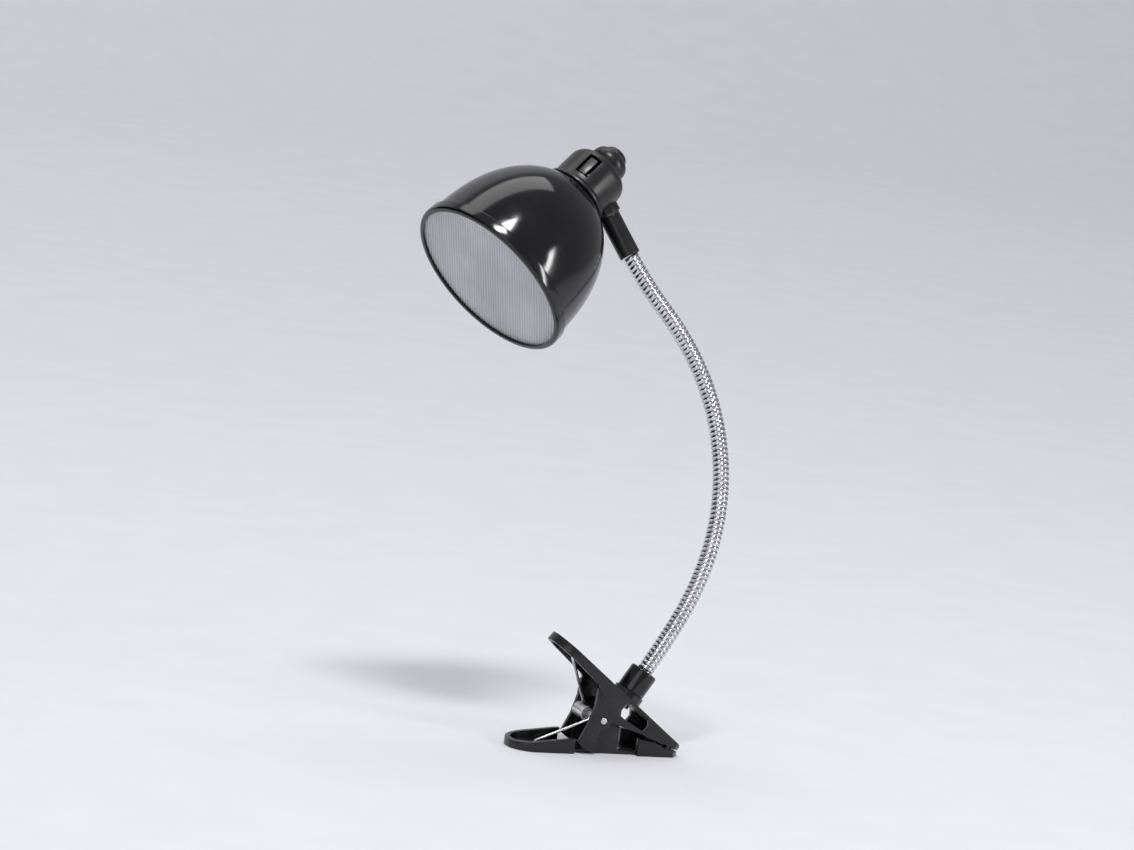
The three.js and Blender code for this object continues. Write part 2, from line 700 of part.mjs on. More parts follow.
const ferruleToJaw = upperFrame.matrixWorld.clone().invert().multiply(ferruleFrame.matrixWorld);
const pad = rod(FERRULE_RADIUS + 0.4, -FERRULE_PAD, -CLEARANCE).applyMatrix4(ferruleToJaw);
const screwHole = rod(SCREW_RADIUS + CLEARANCE, SCREW_HEAD.to, 2, SMALL_ROUND).applyMatrix4(ferruleToJaw);
addMesh(upperFrame, "upper_jaw", upperJaw(pad, screwHole), blackSatin);

let neck = addGroup(ferruleFrame, "neck_frame", [0, 0, NECK_ORIGIN], NECK_TURN);
addMesh(neck, "gooseneck_length_1", neckLength(NECK_START - NECK_ORIGIN, SEGMENT / 2, false, true), chrome);
NECK_BENDS.forEach((bend, i) => {
  const last = i === NECK_BENDS.length - 1;
  const station = addGroup(neck, `neck_station_${i + 1}`, [0, 0, i === 0 ? SEGMENT / 2 : SEGMENT], 0, bend);
  const length = last ? lastNeckLength() : neckLength(0, SEGMENT, true, true);
  addMesh(station, `gooseneck_length_${i + 2}`, length, chrome);
  neck = station;
});

const stemFrame = addGroup(neck, "stem_frame", [0, 0, SEGMENT / 2]);
addMesh(stemFrame, "head_stem", stem(), blackSatin);
addMesh(stemFrame, "swivel_washer", ring(WASHER.inner, WASHER.outer, WASHER.from, WASHER.to, 24), steel);
const snapClip = ring(SNAP_CLIP.inner, SNAP_CLIP.outer, SNAP_CLIP.from, SNAP_CLIP.to, SMALL_ROUND);
addMesh(stemFrame, "swivel_clip", snapClip, steel);

const swivel = addGroup(stemFrame, "swivel_frame", [0, 0, STEM_TO_HEAD_AXIS], HEAD_TURN, -HEAD_TILT);
const head = addGroup(swivel, "head_frame", [0, 0, -STEM_STATION]);
addMesh(head, "shade", shade(), blackGloss);
addMesh(head, "lens_bezel", bezel(), blackGloss);
addMesh(head, "lens", rod(LENS_RADIUS, 0, LENS_THICKNESS, LARGE_ROUND), lensPlastic);
addMesh(head, "reflector", reflector(), whitePlastic);
addMesh(head, "led_board", ledBoard(), boardGreen);
for (let i = 0; i < LED_COUNT; i++) addMesh(head, `led_${i + 1}`, led(i), whitePlastic);
[1, -1].forEach((side, i) => addMesh(head, `board_screw_${i + 1}`, boardScrew(side), steel));
addMesh(head, "battery_holder", batteryHolder(), whitePlastic);
for (let i = 0; i < CELL_COUNT; i++) addMesh(head, `button_cell_${i + 1}`, buttonCell(i), steel);
addMesh(head, "contact_spring", contactSpring(), steel);
const contactPlate = rod(CONTACT_PLATE.radius, CONTACT_PLATE.from, CONTACT_PLATE.to, 24);
addMesh(head, "contact_plate", contactPlate, brassContact);
const { side, from, to } = SWITCH_BODY;
addMesh(head, "switch_body", block(side, side, to - from, 0, 0, (from + to) / 2), blackSatin);
addMesh(head, "rear_housing", rearHousing(), blackSatin);
addMesh(head, "release_tab", releaseTab(), blackSatin);
addMesh(head, "switch_collar", switchCollar(), blackSatin);
addMesh(head, "push_button", pushButton(), blackSatin);

export default lamp;
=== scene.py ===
# Clip-on reading lamp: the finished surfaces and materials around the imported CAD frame.
import json
import math

import bmesh
import bpy
from mathutils import Matrix, Vector

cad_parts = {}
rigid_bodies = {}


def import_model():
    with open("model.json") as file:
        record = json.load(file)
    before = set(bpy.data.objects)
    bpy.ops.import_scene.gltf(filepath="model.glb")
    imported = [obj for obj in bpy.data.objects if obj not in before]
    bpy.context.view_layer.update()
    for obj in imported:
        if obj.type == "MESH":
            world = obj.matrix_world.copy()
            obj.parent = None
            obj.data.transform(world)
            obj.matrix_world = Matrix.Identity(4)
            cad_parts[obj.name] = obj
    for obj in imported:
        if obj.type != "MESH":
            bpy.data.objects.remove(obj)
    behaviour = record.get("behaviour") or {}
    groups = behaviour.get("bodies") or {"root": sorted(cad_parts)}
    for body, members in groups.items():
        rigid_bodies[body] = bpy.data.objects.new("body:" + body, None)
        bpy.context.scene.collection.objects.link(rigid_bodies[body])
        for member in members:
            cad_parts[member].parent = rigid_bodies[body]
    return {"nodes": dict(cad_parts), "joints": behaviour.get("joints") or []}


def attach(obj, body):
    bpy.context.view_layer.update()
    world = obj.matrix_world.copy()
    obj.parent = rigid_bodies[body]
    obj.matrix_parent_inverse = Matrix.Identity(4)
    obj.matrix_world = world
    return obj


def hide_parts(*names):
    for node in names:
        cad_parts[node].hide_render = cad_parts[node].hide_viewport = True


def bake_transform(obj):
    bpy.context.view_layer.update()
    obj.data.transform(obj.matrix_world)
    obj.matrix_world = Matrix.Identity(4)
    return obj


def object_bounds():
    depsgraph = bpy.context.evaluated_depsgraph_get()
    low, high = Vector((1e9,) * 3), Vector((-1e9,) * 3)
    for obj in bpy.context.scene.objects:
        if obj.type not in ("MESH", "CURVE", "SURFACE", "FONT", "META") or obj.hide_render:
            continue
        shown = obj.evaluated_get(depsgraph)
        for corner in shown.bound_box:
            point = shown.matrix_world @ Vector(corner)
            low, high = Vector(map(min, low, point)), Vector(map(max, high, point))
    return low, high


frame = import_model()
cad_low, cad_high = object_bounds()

MM = 0.001
UP = Vector((0, 0, 1))
joints = {joint["name"]: joint for joint in frame["joints"]}


def joint_point(name):
    return Vector(joints[name]["pos_m"])


def joint_axis(name):
    return Vector(joints[name]["axis"]).normalized()


# ---- Frames: each is a matrix whose own units are millimetres ----


def frame_at(origin, x_axis, z_axis):
    z_axis = z_axis.normalized()
    x_axis = (x_axis - z_axis * x_axis.dot(z_axis)).normalized()
    y_axis = z_axis.cross(x_axis)
    turn = Matrix((x_axis, y_axis, z_axis)).transposed().to_4x4()
    return Matrix.Translation(origin) @ turn @ Matrix.Scale(MM, 4)


PIN_DEPTH = 8.9  # from a jaw's outer face to the pin
JAW_ANGLE = math.radians(37.2)
FERRULE_BASE = Vector((-12.7, 0, 14.0)) * MM
FERRULE_LEAN = math.radians(31.4)
STEM_LENGTH = 22.1  # from the neck's end to the head's axis
STEM_STATION = 40.0  # of the stem, behind the lens

PIN = joint_point("clip_hinge")
UPPER_NORMAL = Vector((math.sin(JAW_ANGLE), 0, math.cos(JAW_ANGLE)))
LOWER_JAW = frame_at(PIN - UP * PIN_DEPTH * MM, Vector((1, 0, 0)), UP)
UPPER_JAW = frame_at(
    PIN + UPPER_NORMAL * PIN_DEPTH * MM,
    Vector((math.cos(JAW_ANGLE), 0, -math.sin(JAW_ANGLE))),
    -UPPER_NORMAL,
)
PIN_FRAME = frame_at(PIN, Vector((1, 0, 0)), UP)
FERRULE_AXIS = Vector((math.sin(FERRULE_LEAN), 0, math.cos(FERRULE_LEAN)))
FERRULE = frame_at(FERRULE_BASE, Vector((0, -1, 0)), FERRULE_AXIS)
STEM_AXIS = joint_axis("head_swivel")
HEAD_AXIS = -joint_axis("switch_press")
HEAD_CENTRE = joint_point("head_swivel")
STEM = frame_at(HEAD_CENTRE - STEM_AXIS * STEM_LENGTH * MM, HEAD_AXIS, STEM_AXIS)
HEAD = frame_at(HEAD_CENTRE - HEAD_AXIS * STEM_STATION * MM, STEM_AXIS, HEAD_AXIS)
STEM_IN_HEAD = HEAD.inverted() @ frame_at(HEAD_CENTRE, HEAD_AXIS, -STEM_AXIS)


# ---- Materials ----


def new_material(name):
    made = bpy.data.materials.new(name)
    made.use_nodes = True
    shader = made.node_tree.nodes["Principled BSDF"]
    return made, made.node_tree, shader


def node(tree, kind, **inputs):
    made = tree.nodes.new(kind)
    for key, value in inputs.items():
        made.inputs[key.replace("_", " ")].default_value = value
    return made


def noise(tree, scale, detail=4.0):
    place = tree.nodes.new("ShaderNodeTexCoord")
    texture = node(tree, "ShaderNodeTexNoise", Scale=scale, Detail=detail, Roughness=0.55)
    tree.links.new(place.outputs["Object"], texture.inputs["Vector"])
    return texture.outputs["Fac"]


def spread(tree, value, low, high):
    """Stretches the middle of a noise, where most of its values lie, to the range from low to high."""
    ramp = node(tree, "ShaderNodeMapRange", From_Min=0.3, From_Max=0.7, To_Min=low, To_Max=high)
    tree.links.new(value, ramp.inputs["Value"])
    return ramp.outputs["Result"]


def mix_colour(tree, value, first, second):
    ramp = tree.nodes.new("ShaderNodeValToRGB")
    ramp.color_ramp.elements[0].position = 0.35
    ramp.color_ramp.elements[1].position = 0.65
    ramp.color_ramp.elements[0].color = (*first, 1)
    ramp.color_ramp.elements[1].color = (*second, 1)
    tree.links.new(value, ramp.inputs["Fac"])
    return ramp.outputs["Color"]


def bump(tree, shader, value, strength, distance):
    made = node(tree, "ShaderNodeBump", Strength=strength, Distance=distance)
    tree.links.new(value, made.inputs["Height"])
    tree.links.new(made.outputs["Normal"], shader.inputs["Normal"])


def moulded_plastic(name, dark, light, smooth, rough, grain, grain_depth):
    """Injection-moulded plastic: a faint tone change, patchy gloss and a fine moulded grain."""
    made, tree, shader = new_material(name)
    tree.links.new(mix_colour(tree, noise(tree, 90), dark, light), shader.inputs["Base Color"])
    tree.links.new(spread(tree, noise(tree, 260), smooth, rough), shader.inputs["Roughness"])
    bump(tree, shader, noise(tree, grain, detail=6), 0.25, grain_depth)
    return made


def plated_metal(name, dark, light, smooth, rough):
    """Bright metal with fine wear and slight waviness."""
    made, tree, shader = new_material(name)
    shader.inputs["Metallic"].default_value = 1.0
    tree.links.new(mix_colour(tree, noise(tree, 400), dark, light), shader.inputs["Base Color"])
    tree.links.new(spread(tree, noise(tree, 900), smooth, rough), shader.inputs["Roughness"])
    bump(tree, shader, noise(tree, 2500), 0.12, 0.00002)
    return made


def clear_resin(name, dark, light, smooth, rough):
    """Cast resin that lets more than half of the light through."""
    made, tree, shader = new_material(name)
    tree.links.new(mix_colour(tree, noise(tree, 70), dark, light), shader.inputs["Base Color"])
    tree.links.new(spread(tree, noise(tree, 300), smooth, rough), shader.inputs["Roughness"])
    shader.inputs["Transmission Weight"].default_value = 0.6
    shader.inputs["IOR"].default_value = 1.5
    bump(tree, shader, noise(tree, 1500), 0.05, 0.00002)
    return made


GLOSS_BLACK = moulded_plastic(
    "gloss_black", (0.002, 0.002, 0.003), (0.005, 0.005, 0.007), 0.08, 0.16, 700, 0.00001
)
SATIN_BLACK = moulded_plastic(
    "satin_black", (0.004, 0.004, 0.005), (0.009, 0.009, 0.010), 0.26, 0.42, 2600, 0.00003
)
CLIP_BLACK = moulded_plastic(
    "clip_black", (0.003, 0.003, 0.004), (0.008, 0.008, 0.009), 0.2, 0.36, 1800, 0.00003
)
CHROME = plated_metal("chrome", (0.5, 0.51, 0.54), (0.68, 0.69, 0.72), 0.06, 0.16)
SPRING_STEEL = plated_metal("spring_steel", (0.62, 0.62, 0.64), (0.82, 0.82, 0.84), 0.15, 0.3)
ZINC = plated_metal("zinc", (0.5, 0.5, 0.52), (0.7, 0.7, 0.72), 0.25, 0.42)
DARK_STEEL = plated_metal("dark_steel", (0.1, 0.1, 0.11), (0.18, 0.18, 0.19), 0.3, 0.45)
BRASS = plated_metal("contact_brass", (0.22, 0.17, 0.09), (0.32, 0.26, 0.14), 0.35, 0.5)
LENS_RIB_PITCH = 0.82
LENS_RIB_HEIGHT = 0.22
LENS_RIB_TURN = math.radians(151.8)  # of the direction across the ribs, about the head's axis
LENS_TURNED = HEAD @ Matrix.Rotation(LENS_RIB_TURN, 4, "Z")


def groove_shade_mask(tree):
    """From 0 in a groove of the lens to 1 on a rib; it sets where the lens is given painted shade, deepest in
    each groove.
    """
    across = (LENS_TURNED.to_3x3() @ Vector((1, 0, 0))).normalized()
    place = tree.nodes.new("ShaderNodeTexCoord")
    from_centre = tree.nodes.new("ShaderNodeVectorMath")
    from_centre.operation = "SUBTRACT"
    from_centre.inputs[1].default_value = LENS_TURNED.translation
    along = tree.nodes.new("ShaderNodeVectorMath")
    along.operation = "DOT_PRODUCT"
    along.inputs[1].default_value = across * math.pi / (LENS_RIB_PITCH * MM)
    wave = tree.nodes.new("ShaderNodeMath")
    wave.operation = "SINE"
    height = tree.nodes.new("ShaderNodeMath")
    height.operation = "ABSOLUTE"
    tree.links.new(place.outputs["Object"], from_centre.inputs[0])
    tree.links.new(from_centre.outputs["Vector"], along.inputs[0])
    tree.links.new(along.outputs["Value"], wave.inputs[0])
    tree.links.new(wave.outputs["Value"], height.inputs[0])
    return height.outputs["Value"]


def ribbed_lens():
    """Milky clear plastic with faint clouds and painted shade, darkest in each groove between the ribs."""
    made, tree, shader = new_material("ribbed_lens")
    clouds = mix_colour(tree, noise(tree, 55), (0.5, 0.505, 0.53), (0.6, 0.605, 0.63))
    painted_groove_shade = tree.nodes.new("ShaderNodeVectorMath")
    painted_groove_shade.operation = "MULTIPLY"
    # Painted shade: this ramp darkens the lens colour in each groove between the ribs.
    tone = tree.nodes.new("ShaderNodeValToRGB")
    tone.color_ramp.elements[0].color = (0.55, 0.55, 0.56, 1)
    tone.color_ramp.elements[1].position = 0.6
    tree.links.new(groove_shade_mask(tree), tone.inputs["Fac"])
    tree.links.new(clouds, painted_groove_shade.inputs[0])
    tree.links.new(tone.outputs["Color"], painted_groove_shade.inputs[1])
    tree.links.new(painted_groove_shade.outputs["Vector"], shader.inputs["Base Color"])
    tree.links.new(spread(tree, noise(tree, 300), 0.28, 0.4), shader.inputs["Roughness"])
    shader.inputs["Transmission Weight"].default_value = 0.12
    return made


LENS = ribbed_lens()
LED_RESIN = clear_resin("led_resin", (0.85, 0.85, 0.8), (0.95, 0.95, 0.9), 0.064, 0.096)
WHITE = moulded_plastic("white_plastic", (0.72, 0.72, 0.7), (0.82, 0.82, 0.8), 0.3, 0.45, 1400, 0.00003)
BOARD = moulded_plastic("board", (0.02, 0.12, 0.05), (0.04, 0.2, 0.09), 0.25, 0.4, 2000, 0.00003)


# ---- Mesh helpers ----


def finished_mesh(name, work):
    """Turns a closed bmesh into a mesh whose faces all look outwards."""
    bmesh.ops.recalc_face_normals(work, faces=work.faces)
    mesh = bpy.data.meshes.new(name)
    work.to_mesh(mesh)
    work.free()
    return mesh


def add_piece(name, mesh, material, body=None, slot=None, replaces=()):
    piece = bpy.data.objects.new(name, mesh)
    bpy.context.scene.collection.objects.link(piece)
    mesh.materials.clear()
    mesh.materials.append(material)
    if body:
        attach(piece, body)
    if replaces:
        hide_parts(*replaces)
    return piece


def smooth_by_angle(mesh, degrees=35):
    work = bmesh.new()
    work.from_mesh(mesh)
    limit = math.radians(degrees)
    for face in work.faces:
        face.smooth = True
    for edge in work.edges:
        edge.smooth = len(edge.link_faces) == 2 and edge.calc_face_angle(0) < limit
    work.to_mesh(mesh)
    work.free()


FILLET_STEPS = 4
FILLET_SHARE = 0.45  # the longest a rounding may be, as a share of the sides next to it


def fillet(points):
    """Rounds the corners of an outline of (a, b, radius) points; a point without a radius stays sharp."""
    made = []
    for i, point in enumerate(points):
        here = Vector(point[:2])
        radius = point[2] if len(point) > 2 else 0
        if radius == 0 or i in (0, len(points) - 1):
            made.append(here)
            continue
        before = Vector(points[i - 1][:2]) - here
        after = Vector(points[i + 1][:2]) - here
        reach = min(radius, FILLET_SHARE * before.length, FILLET_SHARE * after.length)
        start = here + before.normalized() * reach
        stop = here + after.normalized() * reach
        for k in range(FILLET_STEPS + 1):
            t = k / FILLET_STEPS
            made.append(start * (1 - t) ** 2 + here * 2 * t * (1 - t) + stop * t**2)
    return made


def lathe_mesh(name, profile, sides, place):
    """A solid of revolution about z from (radius, height) points; points on the axis close its ends."""
    work = bmesh.new()
    rows = []
    for radius, height in profile:
        if radius < 1e-6:
            rows.append([work.verts.new((0, 0, height))])
            continue
        row = []
        for k in range(sides):
            angle = 2 * math.pi * k / sides
            row.append(work.verts.new((radius * math.cos(angle), radius * math.sin(angle), height)))
        rows.append(row)
    closed = len(rows[0]) > 1
    pairs = list(zip(rows, rows[1:] + rows[:1])) if closed else list(zip(rows, rows[1:]))
    for low, high in pairs:
        for k in range(sides):
            n = (k + 1) % sides
            if len(low) == 1 and len(high) == 1:
                continue
            if len(low) == 1:
                work.faces.new((low[0], high[n], high[k]))
            elif len(high) == 1:
                work.faces.new((low[k], low[n], high[0]))
            else:
                work.faces.new((low[k], low[n], high[n], high[k]))
    mesh = finished_mesh(name, work)
    mesh.transform(place)
    smooth_by_angle(mesh)
    return mesh


def lathe(name, profile, place, material, sides=96, **links):
    return add_piece(name, lathe_mesh(name, fillet(profile), sides, place), material, **links)


def prism_mesh(outline, low, high, place=None):
    """An outline of (a, b) points given thickness from low to high along the third axis."""
    work = bmesh.new()
    bottom = [work.verts.new((a, b, low)) for a, b in outline]
    top = [work.verts.new((a, b, high)) for a, b in outline]
    count = len(outline)
    for k in range(count):
        n = (k + 1) % count
        work.faces.new((bottom[k], bottom[n], top[n], top[k]))
    work.faces.new(list(reversed(bottom)))
    work.faces.new(top)
    mesh = finished_mesh("prism", work)
    if place is not None:
        mesh.transform(place)
    return mesh


STAND_UP = Matrix(((1, 0, 0, 0), (0, 0, -1, 0), (0, 1, 0, 0), (0, 0, 0, 1)))  # (a, b, c) to (a, -c, b)


def slab_mesh(outline, near, far):
    """An outline in the side view, (u, v), from y = near to y = far."""
    return prism_mesh(outline, -far, -near, STAND_UP)


def circle(radius, u, v, sides=64):
    steps = [2 * math.pi * k / sides for k in range(sides)]
    return [(u + radius * math.cos(a), v + radius * math.sin(a)) for a in steps]


def combine(base, *tools):
    """Applies (operation, mesh) pairs to the base mesh; an operation is UNION, DIFFERENCE or INTERSECT."""
    shown_objects = bpy.context.scene.collection.objects
    body = bpy.data.objects.new("combine", base)
    shown_objects.link(body)
    helpers = []
    for operation, mesh in tools:
        helper = bpy.data.objects.new("tool", mesh)
        shown_objects.link(helper)
        helpers.append(helper)
        step = body.modifiers.new("step", "BOOLEAN")
        step.operation = operation
        step.solver = "EXACT"
        step.object = helper
    bpy.context.view_layer.update()
    shown = body.evaluated_get(bpy.context.evaluated_depsgraph_get())
    made = bpy.data.meshes.new_from_object(shown)
    for used in [body, *helpers]:
        bpy.data.objects.remove(used)
    return made


WELD_DISTANCE = 0.002
FLAT_ANGLE = math.radians(1.5)  # faces that meet at less than this are joined before bevelling
BEVEL_ANGLE = math.radians(28)  # only edges sharper than this are rounded


def bevelled(mesh, width):
    """Rounds the edges of a mesh that is in millimetres."""
    work = bmesh.new()
    work.from_mesh(mesh)
    bmesh.ops.remove_doubles(work, verts=work.verts, dist=WELD_DISTANCE)
    bmesh.ops.dissolve_limit(work, angle_limit=FLAT_ANGLE, verts=work.verts, edges=work.edges)
    work.to_mesh(mesh)
    work.free()
    body = bpy.data.objects.new("bevelled", mesh)
    bpy.context.scene.collection.objects.link(body)
    step = body.modifiers.new("bevel", "BEVEL")
    step.width = width
    step.segments = 3
    step.limit_method = "ANGLE"
    step.angle_limit = BEVEL_ANGLE
    step.harden_normals = False
    bpy.context.view_layer.update()
    shown = body.evaluated_get(bpy.context.evaluated_depsgraph_get())
    made = bpy.data.meshes.new_from_object(shown)
    bpy.data.objects.remove(body)
    return made


def tangent_at(points, i):
    ahead = points[min(i + 1, len(points) - 1)]
    behind = points[max(i - 1, 0)]
    return (ahead - behind).normalized()


def close_tube(work, rows):
    """Joins each ring of corners to the next and caps the two ends."""
    for low, high in zip(rows, rows[1:]):
        for k in range(len(low)):
            n = (k + 1) % len(low)
            work.faces.new((low[k], low[n], high[n], high[k]))
    work.faces.new(list(reversed(rows[0])))
    work.faces.new(rows[-1])


def tube_mesh(name, centre, radius, sides, place):
    """A closed round tube along a list of points, in millimetres."""
    work = bmesh.new()
    side = (centre[1] - centre[0]).normalized().orthogonal().normalized()
    rows = []
    for i, point in enumerate(centre):
        tangent = tangent_at(centre, i)
        side = (side - tangent * side.dot(tangent)).normalized()
        other = tangent.cross(side)
        row = []
        for k in range(sides):
            angle = 2 * math.pi * k / sides
            row.append(work.verts.new(point + (side * math.cos(angle) + other * math.sin(angle)) * radius))
        rows.append(row)
    close_tube(work, rows)
    mesh = finished_mesh(name, work)
    mesh.transform(place)
    smooth_by_angle(mesh, 50)
    return mesh


# ---- Clip ----

HALF_ANGLE = JAW_ANGLE / 2
HALF_WIDTH = 7.0
WALL = 1.4
PLATE = 0.9
TIP_REACH = 21.85  # from the pin to the tip
TIP_SOLID = 5.3
TIP_CORNER = 1.5
TEETH = 3
TEETH_LENGTH = 4.25
TOOTH_DEPTH = 0.5
HANDLE_REACH = 23.3  # from the pin to the handle's end
HANDLE_CORNER = 6.5
SLOT_FROM, SLOT_TO = -19.5, -14  # the opening in each handle, which the spring's leg hooks into
SLOT_HALF = 3
PIN_RADIUS = 0.9
PIN_HOLE_RADIUS = PIN_RADIUS + 0.15
CLEARANCE = 0.3
INSIDE = HALF_WIDTH - WALL
EAR_OUTSIDE = INSIDE - CLEARANCE
EAR_INSIDE = EAR_OUTSIDE - WALL
ARM_SWEEP = 8.6  # the upper jaw's arms stay within this distance of the pin
EYE_RADIUS = 2.3
PAD_RADIUS = 4.15  # of the upper jaw's pad under the ferrule
PAD_DEPTH = 2.6
PAD_TOP = -0.04
SCREW_RADIUS = 1.1
SCREW_HOLE_RADIUS = 1.4
SCREW_HEAD_RADIUS = 2.2
SCREW_HEAD_FROM, SCREW_HEAD_TO = -4.3, -3.2
CLIP_EDGE = 0.2
TALL = 20  # beyond every part of a jaw
PAST = 1  # how far a cutting shape goes past the face it cuts


def meeting_line(u):
    return PIN_DEPTH - u * math.tan(HALF_ANGLE)


def jaw_side(rim):
    """A jaw's outline in side view: plate, teeth at the tip, then the rim of its side wall."""
    gap = CLEARANCE / 2
    pitch = TEETH_LENGTH / TEETH
    outline = [(-HANDLE_REACH, 0), (TIP_REACH - 0.8, 0), (TIP_REACH, 0.5)]
    for i in range(TEETH):
        u = TIP_REACH - i * pitch
        outline.append((u, meeting_line(u) - gap))
        outline.append((u - pitch * 0.6, meeting_line(u - pitch * 0.6) - gap))
        outline.append((u - pitch, meeting_line(u - pitch) - gap - TOOTH_DEPTH))
    return outline + rim


def jaw_plan(inset, low):
    """A block with the jaw's outline seen from above, drawn in by an inset. The handle's end is round."""
    half = HALF_WIDTH - inset
    corner = HANDLE_CORNER - inset
    centre = -HANDLE_REACH + HANDLE_CORNER
    offset = HALF_WIDTH - HANDLE_CORNER
    reach = TIP_REACH if inset == 0 else TIP_REACH - TIP_SOLID
    outline = [(reach, -half), (reach, half)]
    if inset == 0:
        outline = [(reach, -half + TIP_CORNER), (reach, half - TIP_CORNER), (reach - TIP_CORNER, half)]
    steps = 16
    for side, start in ((1, math.pi / 2), (-1, math.pi)):
        for k in range(steps + 1):
            angle = start + math.pi / 2 * k / steps
            outline.append((centre + corner * math.cos(angle), side * offset + corner * math.sin(angle)))
    if inset == 0:
        outline.append((reach - TIP_CORNER, -half))
    return prism_mesh(outline, low, TALL)


def both_walls(operation, outline, near, far):
    return [(operation, slab_mesh(outline, near, far)), (operation, slab_mesh(outline, -far, -near))]


def jaw_steps():
    """The steps that both jaws share: outline, channel between the side walls, opening in the handle."""
    slot_outline = [(SLOT_FROM, -4), (SLOT_TO, -4), (SLOT_TO, 4), (SLOT_FROM, 4)]
    slot = slab_mesh(slot_outline, -SLOT_HALF, SLOT_HALF)
    return [("INTERSECT", jaw_plan(0, -5)), ("DIFFERENCE", jaw_plan(WALL, PLATE)), ("DIFFERENCE", slot)]


def pin_hole():
    half = HALF_WIDTH + PAST
    return ("DIFFERENCE", slab_mesh(circle(PIN_HOLE_RADIUS, 0, PIN_DEPTH, 32), -half, half))


def lower_jaw():
    rim = [(16.8, 3), (14.5, 3.8), (10.4, 4.6), (-8, 3.9), (-11.5, 3.4), (-HANDLE_REACH, 2)]
    arm_room = [(-7.1, -1), (10.4, -1), (10.4, TALL), (-3, TALL), (-4.4, PIN_DEPTH), (-7.1, 3)]
    ear = [(-4.2, 0.6), (5.3, 0.6), (5.3, PIN_DEPTH + 3.2), (2, PIN_DEPTH + 3.6), (-2.4, PIN_DEPTH + 1.6)]
    steps = jaw_steps()
    steps += both_walls("DIFFERENCE", arm_room, EAR_OUTSIDE, HALF_WIDTH + PAST)
    steps += both_walls("UNION", ear, EAR_INSIDE, EAR_OUTSIDE)
    steps.append(pin_hole())
    mesh = bevelled(combine(slab_mesh(jaw_side(rim), -HALF_WIDTH, HALF_WIDTH), *steps), CLIP_EDGE)
    mesh.transform(LOWER_JAW)
    smooth_by_angle(mesh)
    return add_piece("lower_jaw_shell", mesh, CLIP_BLACK, body="clip_lower", slot="black_satin",
                     replaces=["lower_jaw"])


def upper_jaw():
    rim = [(16.8, 3.05), (12.5, 4), (10.1, 4.9), (5.8, 6.5), (3, 7.5), (1, 7.5)]
    rim += [(-7.6, 2.8), (-14, 2.5), (-HANDLE_REACH, 2.2)]
    arm = [(-8.2, 1), (-6.7, 4), (-4.4, 7.4), (-2.5, 12.2), (-1.2, 18), (3.4, 18), (3.7, 16.2)]
    arm += [(1.8, 13.4), (1.3, 11.5), (2.2, 7.6), (3.4, 5.2), (4, 1)]
    window = [(1.6, 0.8), (9.7, 0.8), (10.8, 2.1), (10.8, 3.8), (4.4, 4.9), (1.9, 4.9)]
    steps = jaw_steps()
    for near, far in ((INSIDE, HALF_WIDTH), (-HALF_WIDTH, -INSIDE)):
        reach = ("INTERSECT", slab_mesh(circle(ARM_SWEEP, 0, PIN_DEPTH, 96), near - PAST, far + PAST))
        steps.append(("UNION", combine(slab_mesh(arm, near, far), reach)))
    steps += both_walls("UNION", circle(EYE_RADIUS, 0, PIN_DEPTH), INSIDE, HALF_WIDTH)
    to_jaw = UPPER_JAW.inverted() @ FERRULE
    steps.append(("UNION", prism_mesh(circle(PAD_RADIUS, 0, 0), -PAD_DEPTH, PAD_TOP, to_jaw)))
    steps.append(pin_hole())
    steps.append(("DIFFERENCE", prism_mesh(circle(SCREW_HOLE_RADIUS, 0, 0, 32), SCREW_HEAD_TO, 2, to_jaw)))
    steps += both_walls("DIFFERENCE", window, EAR_OUTSIDE, HALF_WIDTH + PAST)
    mesh = bevelled(combine(slab_mesh(jaw_side(rim), -HALF_WIDTH, HALF_WIDTH), *steps), CLIP_EDGE)
    mesh.transform(UPPER_JAW)
    smooth_by_angle(mesh)
    return add_piece("upper_jaw_shell", mesh, CLIP_BLACK, body="clip_upper", slot="black_satin",
                     replaces=["upper_jaw"])


def pivot_pin():
    half = HALF_WIDTH + 0.3
    profile = [(0, -half), (PIN_RADIUS, -half, 0.3), (PIN_RADIUS, half, 0.3), (0, half)]
    across = PIN_FRAME @ Matrix.Rotation(-math.pi / 2, 4, "X")
    return lathe("pivot_pin_turned", profile, across, ZINC, 48, body="clip_upper", slot="steel",
                 replaces=["pivot_pin"])


def mirrored(x, z):
    """The mirror image of a point of the side view in the line on which the jaws meet."""
    cos, sin = math.cos(JAW_ANGLE), math.sin(JAW_ANGLE)
    return x * cos - z * sin, -x * sin - z * cos


SPRING_RADIUS = 1.65
SPRING_WIRE = 0.4
SPRING_WIDTH = 6.4
SPRING_TURNS = 7
SPRING_BEHIND_PIN = 3.25
LEG_END = (-16.2, 2.1 - PIN_DEPTH)
LEG_HOOK = (-17.0, 0.7 - PIN_DEPTH)
LEG_SIDE = -2.3  # both legs end on the same side of the middle plane


def evenly(start, stop, count):
    """The first count of count + 1 points that divide a line evenly, without its end."""
    return [start.lerp(stop, k / count) for k in range(count)]


